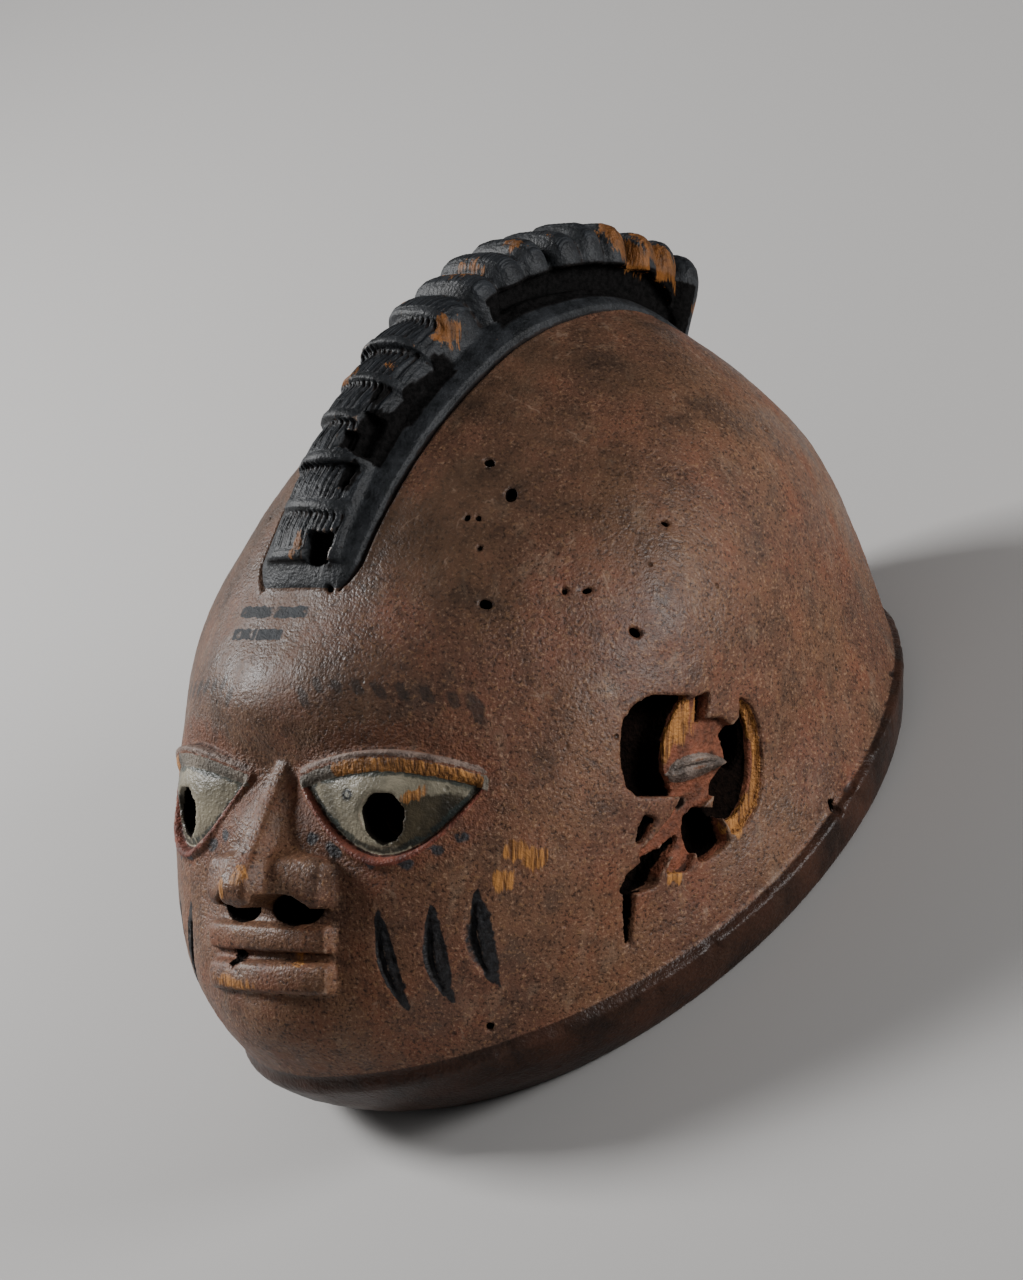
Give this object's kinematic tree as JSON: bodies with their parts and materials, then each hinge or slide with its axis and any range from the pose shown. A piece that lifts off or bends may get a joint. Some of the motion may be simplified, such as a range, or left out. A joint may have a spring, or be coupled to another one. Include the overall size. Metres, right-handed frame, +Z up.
{
  "type": "gelede mask",
  "caption": "Carved wooden helmet mask of a face with large eyes, cheek cuts, cut-out ears and a crest of plaits, hollow and open below so that it sits over the top of a head.",
  "frame": {"origin": "on the ground under the middle of the bounding box; the mask stands on its rim", "axes": "+Z up, the face looks along -Y, +X to the mask's own left side, +Y towards the nape"},
  "size_m": [0.2178, 0.3074, 0.1961],
  "materials": {
    "carved_wood": "worn brown-red paint over carved wood, satin with glossy worn edges"
  },
  "bodies": {
    "root": {"gelede_mask": "carved_wood"}
  },
  "joints": []
}
